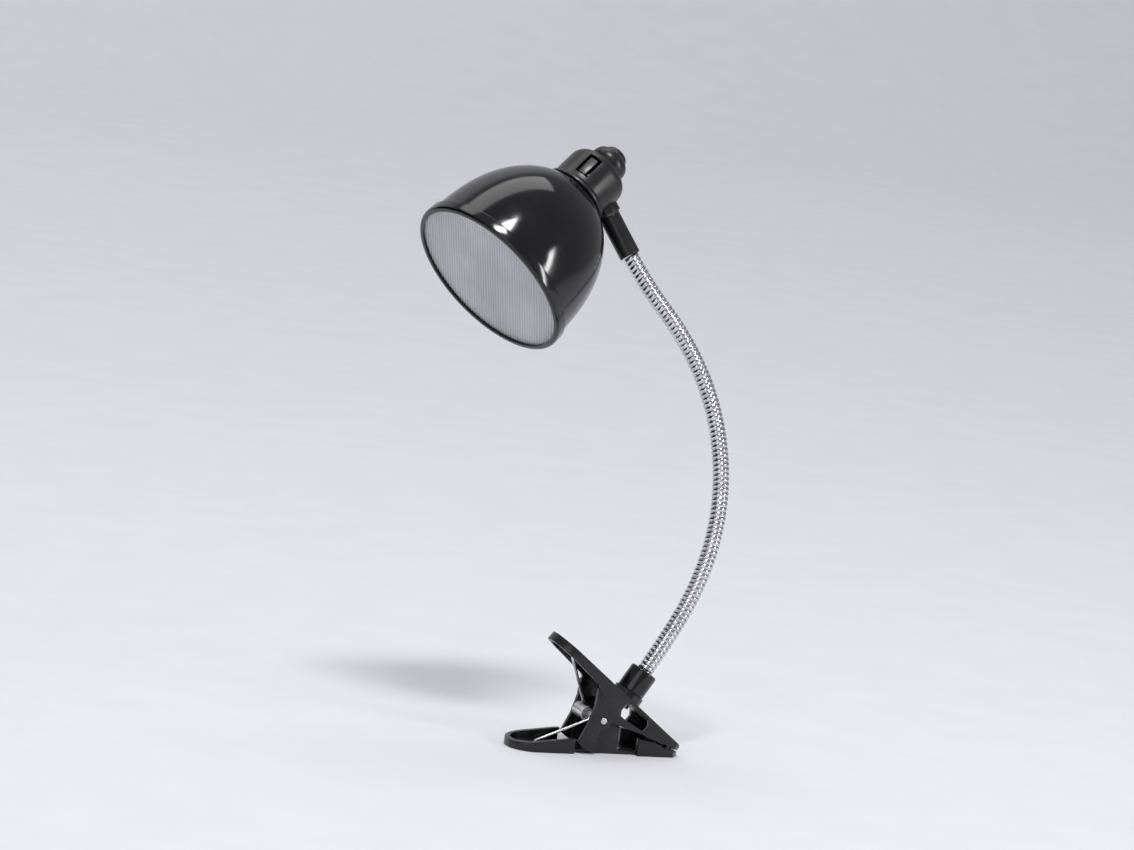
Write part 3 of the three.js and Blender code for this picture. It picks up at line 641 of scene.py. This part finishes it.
def clip_spring():
    """A torsion spring behind the pin; each leg hooks into the opening of its handle."""
    centre = (-SPRING_BEHIND_PIN * math.cos(HALF_ANGLE), SPRING_BEHIND_PIN * math.sin(HALF_ANGLE))
    across = Vector((centre[0] - LEG_END[0], centre[1] - LEG_END[1]))
    start = math.atan2(across.y, across.x) - math.asin(SPRING_RADIUS / across.length) - math.pi / 2
    stop = 2 * math.pi * SPRING_TURNS - JAW_ANGLE - start
    count = 32 * SPRING_TURNS
    coil = []
    for k in range(count + 1):
        angle = start + (stop - start) * k / count
        x, z = centre[0] + SPRING_RADIUS * math.cos(angle), centre[1] + SPRING_RADIUS * math.sin(angle)
        coil.append(Vector((x, SPRING_WIDTH * (k / count - 0.5), z)))
    ends = (LEG_HOOK, LEG_END, mirrored(*LEG_END), mirrored(*LEG_HOOK))
    hook, bend, other_bend, other_hook = [Vector((x, LEG_SIDE, z)) for x, z in ends]
    points = evenly(hook, bend, 6) + evenly(bend, coil[0], 16) + coil[:-1]
    points += evenly(coil[-1], other_bend, 16) + evenly(other_bend, other_hook, 6) + [other_hook]
    mesh = tube_mesh("spring", points, SPRING_WIRE, 14, PIN_FRAME)
    wire = add_piece("clip_spring_wire", mesh, SPRING_STEEL, slot="spring_steel", replaces=["clip_spring"])
    middle = Vector((centre[0], 0, centre[1]))
    # Points just outside either side of the coil, where the wire's bending would start and end, are worked
    # out below; nothing uses them.
    split = Vector((math.sin(HALF_ANGLE), 0, math.cos(HALF_ANGLE))) * 1.5 * SPRING_RADIUS
    start, end = PIN_FRAME @ (middle + split), PIN_FRAME @ (middle - split)
    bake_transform(wire)
    return wire


# ---- Ferrule and gooseneck ----

FERRULE_RADIUS = 3.75
FERRULE_HEIGHT = 6.5
NECK_RADIUS = 2.2
NECK_CORE = 1.85  # radius in the groove between two ribs
NECK_SOCKET_RADIUS = 2.5
NECK_SOCKET_FLOOR = 3.5  # above the ferrule's base
STEM_SOCKET_DEPTH = 2.8
RIB_PITCH = 1.27
RIB_SHARPNESS = 0.55  # below 1, the ribs are round and the grooves between them narrow
NECK_SIDES = 32
STEPS_PER_RIB = 10


def clip_ferrule():
    profile = [(SCREW_HOLE_RADIUS, 0), (FERRULE_RADIUS, 0, 0.3), (FERRULE_RADIUS, FERRULE_HEIGHT, 0.9)]
    profile += [(NECK_SOCKET_RADIUS, FERRULE_HEIGHT, 0.15), (NECK_SOCKET_RADIUS, NECK_SOCKET_FLOOR)]
    profile.append((SCREW_HOLE_RADIUS, NECK_SOCKET_FLOOR))
    return lathe("clip_ferrule_turned", profile, FERRULE, GLOSS_BLACK, body="clip_upper", slot="black_gloss",
                 replaces=["clip_ferrule"])


def ferrule_screw():
    end = 3.2
    profile = [(0, SCREW_HEAD_FROM), (SCREW_HEAD_RADIUS, SCREW_HEAD_FROM, 0.3)]
    profile += [(SCREW_HEAD_RADIUS, SCREW_HEAD_TO, 0.2), (SCREW_RADIUS, SCREW_HEAD_TO)]
    profile += [(SCREW_RADIUS, end, 0.3), (0, end)]
    return lathe("ferrule_screw_turned", profile, FERRULE, ZINC, 48, body="clip_upper", slot="steel",
                 replaces=["ferrule_screw"])


def neck_corners():
    """The neck's course as a list of corners: its start, the seven bending stations and its end."""
    start = FERRULE @ Vector((0, 0, NECK_SOCKET_FLOOR + CLEARANCE))
    end = STEM @ Vector((0, 0, STEM_SOCKET_DEPTH - CLEARANCE))
    stations = [joint["pos_m"] for name, joint in joints.items() if name.startswith("neck_")]
    return [start] + [Vector(point) for point in stations] + [end]


def arc_through(start, corner, stop, steps):
    """Points of the arc that touches the line start-corner at start and the line corner-stop at stop."""
    first, second = (corner - start).normalized(), (stop - corner).normalized()
    angle = first.angle(second)
    if angle < 1e-4:
        return [start.lerp(stop, k / steps) for k in range(steps + 1)]
    radius = (corner - start).length / math.tan(angle / 2)
    inward = (second - first * second.dot(first)).normalized()
    centre = start + inward * radius
    points = []
    for k in range(steps + 1):
        turn = angle * k / steps
        points.append(centre - inward * radius * math.cos(turn) + first * radius * math.sin(turn))
    return points


def rib_depth(phase):
    """Outline of one turn of the conduit, from 0 in the groove to 1 on the rib."""
    return abs(math.sin(math.pi * phase)) ** RIB_SHARPNESS


PLANE_NORMAL = joint_axis("neck_bend_1")  # of the plane in which the neck curves


def neck_skin(name, points, start_length):
    """The conduit's ribbed skin along one stretch. Returns its mesh and the length at its end."""
    work = bmesh.new()
    lengths = [start_length]
    for a, b in zip(points, points[1:]):
        lengths.append(lengths[-1] + (b - a).length / MM)
    rows = []
    for i, point in enumerate(points):
        tangent = tangent_at(points, i)
        side = PLANE_NORMAL.cross(tangent).normalized()
        other = tangent.cross(side)
        row = []
        for k in range(NECK_SIDES):
            angle = 2 * math.pi * k / NECK_SIDES
            phase = lengths[i] / RIB_PITCH - k / NECK_SIDES
            size = (NECK_CORE + (NECK_RADIUS - NECK_CORE) * rib_depth(phase)) * MM
            row.append(work.verts.new(point + (side * math.cos(angle) + other * math.sin(angle)) * size))
        rows.append(row)
    close_tube(work, rows)
    mesh = finished_mesh(name, work)
    smooth_by_angle(mesh, 60)
    return mesh, lengths[-1]


def rib_steps(length):
    return max(1, round(length / MM / RIB_PITCH * STEPS_PER_RIB))


def gooseneck():
    """Seven ribbed stretches, each curving smoothly round its own station, which lies between two bodies."""
    corners = neck_corners()
    last = len(corners) - 2
    middles = [(a + b) / 2 for a, b in zip(corners[1:], corners[2:-1])]
    ends = [corners[0]] + middles + [corners[-1]]
    half = (corners[2] - corners[1]).length / 2
    length = 0.0
    for k in range(1, last + 1):
        before, corner, after = ends[k - 1], corners[k], ends[k]
        first, second = (corner - before).normalized(), (after - corner).normalized()
        arc_start, arc_stop = corner - first * half, corner + second * half
        points = arc_through(arc_start, corner, arc_stop, rib_steps(2 * half))
        covered = [f"gooseneck_length_{k}"]
        if k == 1:
            points = evenly(before, arc_start, rib_steps((arc_start - before).length)) + points
        if k == last:
            points = points[:-1] + evenly(arc_stop, after, rib_steps((after - arc_stop).length)) + [after]
            covered.append(f"gooseneck_length_{k + 1}")
        mesh, length = neck_skin(f"gooseneck_skin_{k}", points, length)
        piece = add_piece(f"gooseneck_skin_{k}", mesh, CHROME, slot="chrome", replaces=covered)
        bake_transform(piece)


STEM_RADIUS = 2.8
STEM_SOCKET_RADIUS = 2.4
STEM_SHOULDER = 11.45
SPIGOT_RADIUS = 1.8
SPIGOT_END = 17.7
GROOVE_RADIUS = 1.4
GROOVE_FROM, GROOVE_TO = 16.1, 16.8


def head_stem():
    """The stem, with a socket for the neck at one end and a grooved spigot for the head at the other."""
    profile = [(0, STEM_SOCKET_DEPTH), (STEM_SOCKET_RADIUS, STEM_SOCKET_DEPTH), (STEM_SOCKET_RADIUS, 0, 0.1)]
    profile += [(STEM_RADIUS, 0, 0.3), (STEM_RADIUS, STEM_SHOULDER, 0.3), (SPIGOT_RADIUS, STEM_SHOULDER)]
    profile += [(SPIGOT_RADIUS, GROOVE_FROM), (GROOVE_RADIUS, GROOVE_FROM), (GROOVE_RADIUS, GROOVE_TO)]
    profile += [(SPIGOT_RADIUS, GROOVE_TO), (SPIGOT_RADIUS, SPIGOT_END, 0.3), (0, SPIGOT_END)]
    return lathe("head_stem_turned", profile, STEM, SATIN_BLACK, 72, body="head_mount", slot="black_satin",
                 replaces=["head_stem"])


# ---- Head ----

SHADE_RADIUS = 22.9
SHADE_DEPTH = 34.8
SHADE_WALL = 1.4
SHADE_FRONT = 2.4
SHADE_BACK = 32.3
SHADE_FULLNESS = 2.4
SHADE_INSET = 0.06  # keeps the smooth bell inside the flat facets of the CAD's
SHADE_HOLE_RADIUS = 7.5
LENS_RADIUS = 22.6
LENS_THICKNESS = 1.5
LENS_FRONT = 0.1
BEZEL_RADIUS = 23.58
BEZEL_FRONT = -1


def bell(radius, depth, station):
    return radius * math.sqrt(1 - (station / depth) ** SHADE_FULLNESS)


def bell_curve(radius, depth, start, stop, count):
    """Points of the bell, which lie closer together towards the strongly curved end."""
    points = []
    for k in range(count + 1):
        station = start + (stop - start) * math.sin(k / count * math.pi / 2)
        points.append((bell(radius, depth, station), station))
    return points


def shade():
    inside = SHADE_BACK - SHADE_WALL
    outer = bell_curve(SHADE_RADIUS - SHADE_INSET, SHADE_DEPTH, SHADE_FRONT, SHADE_BACK, 60)
    inner = bell_curve(SHADE_RADIUS - SHADE_WALL, SHADE_DEPTH - SHADE_WALL, SHADE_FRONT, inside, 30)
    profile = outer + [(SHADE_HOLE_RADIUS, SHADE_BACK), (SHADE_HOLE_RADIUS, inside)] + inner[::-1]
    mesh = lathe_mesh("shade_shell", profile, 160, HEAD)
    return add_piece("shade_shell", mesh, GLOSS_BLACK, body="head", slot="black_gloss", replaces=["shade"])


def lens_bezel():
    lip = LENS_RADIUS - 0.4
    seat = LENS_RADIUS + CLEARANCE
    back = SHADE_FRONT - CLEARANCE
    profile = [(lip, BEZEL_FRONT, 0.2), (BEZEL_RADIUS - 0.5, BEZEL_FRONT, 0.25)]
    profile += [(BEZEL_RADIUS, BEZEL_FRONT + 0.5, 0.3), (BEZEL_RADIUS, back, 0.3)]
    profile += [(seat, back), (seat, -CLEARANCE), (lip, -CLEARANCE)]
    return lathe("lens_bezel_ring", profile, HEAD, GLOSS_BLACK, 160, body="head", slot="black_gloss",
                 replaces=["lens_bezel"])


def lens():
    """A round plate whose front face is covered in fine parallel ribs."""
    work = bmesh.new()
    per_rib = 6
    columns = 2 * round(LENS_RADIUS / LENS_RIB_PITCH * per_rib) - 2
    rows = 28
    side = LENS_RADIUS * 0.999  # just short of the edge, where the columns would have no height
    front, back = [], []
    for i in range(columns + 1):
        x = -side + 2 * side * i / columns
        reach = math.sqrt(LENS_RADIUS**2 - x * x)
        heights = [reach * (2 * k / rows - 1) for k in range(rows + 1)]
        rib = LENS_FRONT - LENS_RIB_HEIGHT * abs(math.sin(math.pi * x / LENS_RIB_PITCH))
        front.append([work.verts.new((x, y, rib)) for y in heights])
        back.append([work.verts.new((x, y, LENS_THICKNESS)) for y in heights])
    for sheet in (front, back):
        for low, high in zip(sheet, sheet[1:]):
            for k in range(rows):
                work.faces.new((low[k], low[k + 1], high[k + 1], high[k]))
    for i in range(columns):
        for k in (0, rows):
            work.faces.new((front[i][k], front[i + 1][k], back[i + 1][k], back[i][k]))
    for i in (0, columns):
        for k in range(rows):
            work.faces.new((front[i][k], front[i][k + 1], back[i][k + 1], back[i][k]))
    mesh = finished_mesh("lens", work)
    mesh.transform(LENS_TURNED)
    smooth_by_angle(mesh, 60)
    return add_piece("ribbed_lens", mesh, LENS, body="head", slot="lens", replaces=["lens"])


HOUSING_RADIUS = 8.5
HOUSING_INSIDE = 7.4
HOUSING_BACK = 44.8
BOSS_RADIUS = 3.4
BOSS_FROM, BOSS_TO = 7.8, 10.05
TAB_ANGLE = math.radians(64)
TAB_WIDTH = 2.2
TAB_ROOT, TAB_TIP = 35.8, 41.2
TAB_SLOT = 0.85  # gap round the tab
TAB_EDGE = 0.18


def housing_profile():
    return [
        (HOUSING_INSIDE, 32.7), (9.3, 32.7, 0.3), (9.3, 33.7, 0.4),
        (HOUSING_RADIUS, 34.3, 0.3), (HOUSING_RADIUS, 42.0, 0.8),
        (8.0, 43.4, 1.0), (6.9, 44.4, 1.0), (5.4, HOUSING_BACK, 0.6), (2.0, HOUSING_BACK), (2.0, 43.6),
        (HOUSING_INSIDE - 1, 43.3, 0.3), (HOUSING_INSIDE, 42.1, 0.3),
    ]


def tab_block(width, low, high):
    """A block through the housing's wall at the tab, between two stations."""
    nearest, farthest = 6, 10
    half = width / 2
    outline = [(nearest, -half), (farthest, -half), (farthest, half), (nearest, half)]
    return prism_mesh(outline, low, high, Matrix.Rotation(TAB_ANGLE, 4, "Z"))


def rear_housing():
    shell = lathe_mesh("housing", fillet(housing_profile()), 128, Matrix.Identity(4))
    boss_profile = [(0, BOSS_FROM), (BOSS_RADIUS, BOSS_FROM), (BOSS_RADIUS, BOSS_TO, 0.4), (0, BOSS_TO)]
    boss = lathe_mesh("boss", fillet(boss_profile), 64, STEM_IN_HEAD)
    hole_radius = SPIGOT_RADIUS + CLEARANCE
    hole_profile = [(0, 4), (hole_radius, 4), (hole_radius, 10.8), (0, 10.8)]
    hole = lathe_mesh("hole", hole_profile, 48, STEM_IN_HEAD)
    slot = tab_block(TAB_WIDTH + 2 * TAB_SLOT, TAB_ROOT - CLEARANCE, TAB_TIP + TAB_SLOT)
    mesh = combine(shell, ("UNION", boss), ("DIFFERENCE", hole), ("DIFFERENCE", slot))
    mesh.transform(HEAD)
    smooth_by_angle(mesh)
    return add_piece("rear_housing_shell", mesh, SATIN_BLACK, body="head", slot="black_satin",
                     replaces=["rear_housing"])


def release_tab():
    """The tab is cut out of a ring with the housing's own wall thickness."""
    ring = [(HOUSING_INSIDE, 35), (HOUSING_RADIUS, 35), (HOUSING_RADIUS, 42), (HOUSING_INSIDE, 42)]
    wall = lathe_mesh("wall", ring, 160, Matrix.Identity(4))
    mesh = bevelled(combine(wall, ("INTERSECT", tab_block(TAB_WIDTH, TAB_ROOT, TAB_TIP))), TAB_EDGE)
    mesh.transform(HEAD)
    smooth_by_angle(mesh)
    return add_piece("release_tab_tongue", mesh, SATIN_BLACK, body="housing_tab", slot="black_satin",
                     replaces=["release_tab"])


def switch_collar():
    profile = [(3.7, 45.1), (4.8, 45.1, 0.3), (5.2, 46.3, 0.8), (5.2, 47.3, 1.0)]
    profile += [(4.8, 48.5, 1.0), (4.1, 49.2, 0.6), (3.7, 49.4, 0.1)]
    return lathe("switch_collar_ring", profile, HEAD, SATIN_BLACK, 96, body="head", slot="black_satin",
                 replaces=["switch_collar"])


def push_button():
    profile = [(0, 44.4), (1.5, 44.4, 0.2), (1.5, 46.4), (3.4, 46.4, 0.2), (3.4, 50.0, 0.8), (2.9, 50.8, 0.8)]
    profile += [(1.9, 51.3, 0.6), (0, 51.5)]
    return lathe("push_button_cap", profile, HEAD, SATIN_BLACK, 96, body="switch_button", slot="black_satin",
                 replaces=["push_button"])


def inner_materials():
    """The pieces inside keep their CAD meshes and only get their finishes."""
    finishes = [
        (WHITE, ["reflector", "battery_holder"]),
        (BOARD, ["led_board"]),
        (BRASS, ["contact_plate"]),
        (SPRING_STEEL, ["contact_spring"]),
        (SATIN_BLACK, ["switch_body"]),
        (DARK_STEEL, ["swivel_washer", "swivel_clip"]),
        (ZINC, ["board_screw_1", "board_screw_2", "button_cell_1", "button_cell_2", "button_cell_3"]),
        (LED_RESIN, ["led_1", "led_2", "led_3"]),
    ]
    for finish, names in finishes:
        for name in names:
            shown = frame["nodes"][name]
            shown.data.materials.clear()
            shown.data.materials.append(finish)
            smooth_by_angle(shown.data)


# ---- Stage ----

AZIMUTH, ELEVATION, ROLL = math.radians(-22), math.radians(8), math.radians(7)
FRAME_WIDTH = 0.2948  # of the picture, at the lamp
FRAME_RIGHT, FRAME_UP = -0.02633, 0.08339  # from the origin to the picture's middle
LENS_LENGTH = 150.0
SENSOR = 36.0
PAPER_FRONT, PAPER_BEND, PAPER_TOP = -3.0, 1.8, 3.5
PAPER_RADIUS = 0.7
PAPER_HALF = 4.0


def camera():
    """Makes the camera and returns its right, up and back directions."""
    back = Vector((math.sin(AZIMUTH) * math.cos(ELEVATION), -math.cos(AZIMUTH) * math.cos(ELEVATION),
                   math.sin(ELEVATION)))
    right = Vector((math.cos(AZIMUTH), math.sin(AZIMUTH), 0))
    up = back.cross(right)
    right, up = right * math.cos(ROLL) + up * math.sin(ROLL), up * math.cos(ROLL) - right * math.sin(ROLL)
    centre = right * FRAME_RIGHT + up * FRAME_UP
    data = bpy.data.cameras.new("camera")
    data.lens = LENS_LENGTH
    data.sensor_width = SENSOR
    data.clip_end = 50
    made = bpy.data.objects.new("camera", data)
    distance = FRAME_WIDTH * LENS_LENGTH / SENSOR
    turn = Matrix((right, up, back)).transposed().to_4x4()
    made.matrix_world = Matrix.Translation(centre + back * distance) @ turn
    bpy.context.scene.collection.objects.link(made)
    bpy.context.scene.camera = made
    return right, up, back


def facing(place, target):
    """The turn that points an object's own -z at a target."""
    return (Vector(target) - Vector(place)).to_track_quat("-Z", "Y").to_euler()


def area_light(name, place, target, width, height, power):
    data = bpy.data.lights.new(name, "AREA")
    data.shape = "RECTANGLE"
    data.size, data.size_y = width, height
    data.energy = power
    made = bpy.data.objects.new(name, data)
    made.location = place
    made.rotation_euler = facing(place, target)
    bpy.context.scene.collection.objects.link(made)


def backdrop():
    """A sheet of paper that lies under the lamp and curves up behind it."""
    made, tree, shader = new_material("backdrop_paper")
    paper = mix_colour(tree, noise(tree, 40), (0.78, 0.78, 0.82), (0.8, 0.8, 0.84))
    tree.links.new(paper, shader.inputs["Base Color"])
    shader.inputs["Roughness"].default_value = 0.8
    bump(tree, shader, noise(tree, 900), 0.1, 0.0001)
    floor = cad_low.z
    work = bmesh.new()
    steps = 16
    profile = [(PAPER_FRONT, floor), (PAPER_BEND, floor)]
    for k in range(1, steps + 1):
        angle = math.pi / 2 * k / steps
        along = PAPER_BEND + PAPER_RADIUS * math.sin(angle)
        profile.append((along, floor + PAPER_RADIUS * (1 - math.cos(angle))))
    profile.append((PAPER_BEND + PAPER_RADIUS, PAPER_TOP))
    columns = [[work.verts.new((x, y, z)) for y, z in profile] for x in (-PAPER_HALF, PAPER_HALF)]
    for k in range(len(profile) - 1):
        work.faces.new((columns[0][k], columns[1][k], columns[1][k + 1], columns[0][k + 1]))
    mesh = bpy.data.meshes.new("backdrop")
    work.to_mesh(mesh)
    work.free()
    mesh.materials.append(made)
    smooth_by_angle(mesh, 80)
    sheet = bpy.data.objects.new("backdrop", mesh)
    bpy.context.scene.collection.objects.link(sheet)


def dark_flag(place, target, size):
    """A black studio flag that only mirror-like surfaces see; it gives the bright metal its dark side."""
    made, tree, shader = new_material("flag_cloth")
    tree.links.new(mix_colour(tree, noise(tree, 12), (0.003, 0.003, 0.003), (0.008, 0.008, 0.008)),
                   shader.inputs["Base Color"])
    shader.inputs["Roughness"].default_value = 0.95
    work = bmesh.new()
    bmesh.ops.create_grid(work, x_segments=1, y_segments=1, size=size / 2)
    mesh = bpy.data.meshes.new("flag")
    work.to_mesh(mesh)
    work.free()
    mesh.materials.append(made)
    flag = bpy.data.objects.new("flag", mesh)
    flag.location = place
    flag.rotation_euler = facing(place, target)
    flag.visible_camera = False
    flag.visible_diffuse = False
    flag.visible_shadow = False
    flag.visible_transmission = False
    bpy.context.scene.collection.objects.link(flag)


def lights():
    """A key above, a strip at the right, a weak fill, a flag at the left, and a light for the backdrop."""
    right, up, back = camera()
    middle = (cad_low + cad_high) / 2
    area_light("key", middle + (right * 0.15 + up * 0.85 + back * 0.5) * 1.3, middle, 0.3, 0.2, 8)
    area_light("strip", middle + right * 0.92 + up * 0.05 + back * 0.38, middle, 0.07, 0.5, 2.5)
    area_light("fill", middle + (back * 0.95 - right * 0.3 + up * 0.15) * 1.6, middle, 0.9, 1.2, 3.6)
    dark_flag(middle - right * 1.1 + back * 0.1, middle, 1.7)
    area_light("paper", Vector((0, 1.2, 2.6)), Vector((0, 1.9, 0)), 2.5, 1.5, 24)
    world = bpy.data.worlds.new("studio")
    bpy.context.scene.world = world
    world.use_nodes = True
    world.node_tree.nodes["Background"].inputs["Color"].default_value = (0.8, 0.8, 0.84, 1)
    world.node_tree.nodes["Background"].inputs["Strength"].default_value = 0.43
    bpy.context.scene.view_settings.view_transform = "Standard"


lights()
backdrop()
lower_jaw()
upper_jaw()
pivot_pin()
clip_spring()
clip_ferrule()
ferrule_screw()
gooseneck()
head_stem()
shade()
lens_bezel()
lens()
rear_housing()
release_tab()
switch_collar()
push_button()
inner_materials()
